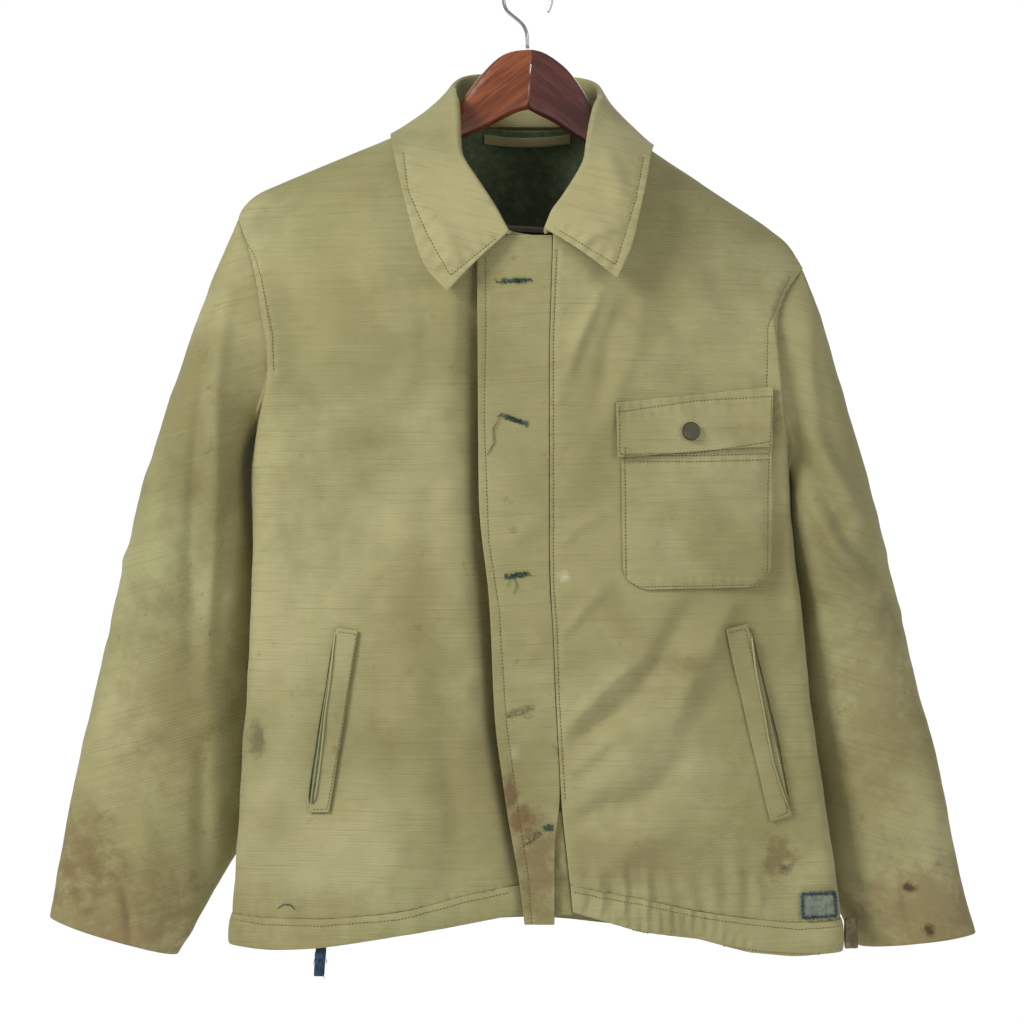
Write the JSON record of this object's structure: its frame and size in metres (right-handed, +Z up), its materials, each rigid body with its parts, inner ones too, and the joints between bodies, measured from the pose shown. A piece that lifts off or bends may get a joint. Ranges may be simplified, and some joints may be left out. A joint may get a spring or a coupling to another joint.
{
  "type": "deck jacket on hanger",
  "caption": "Short lined work jacket with a turned-down collar, buttonhole fly, chest and slanted hand pockets, hanging open at the hem on a wooden hanger.",
  "frame": {"origin": "inside of the hook's top, where a rail carries the hanger", "axes": "+Z up, -Y out of the jacket's front, +X towards the wearer's left"},
  "size_m": [0.794, 0.1723, 0.8544],
  "materials": {
    "shell": "matt ribbed cotton, faded",
    "lining": "matt wool pile",
    "thread": "matt cotton thread",
    "patch": "matt hook and loop tape",
    "strap": "matt frayed webbing",
    "snap": "worn dark enamel",
    "wood": "gloss lacquer over walnut stain",
    "hook_wire": "polished"
  },
  "bodies": {
    "root": {"back_panel": "shell", "chest_flap": "shell", "chest_pocket": "shell", "collar": "shell", "flap_snap": "snap", "fly": "shell", "fly_facing": "shell", "front_left": "shell", "front_right": "shell", "hang_loop": "shell", "hanger_arm_left": "wood", "hanger_arm_right": "wood", "hanger_bar": "wood", "hanger_hook": "hook_wire", "hem_back": "shell", "hem_left": "shell", "hem_right": "shell", "hook_loop_patch": "patch", "side_tab": "shell", "sleeve_left": "shell", "sleeve_right": "shell", "strap_end": "strap", "welt_left": "shell", "welt_right": "shell"}
  },
  "joints": []
}
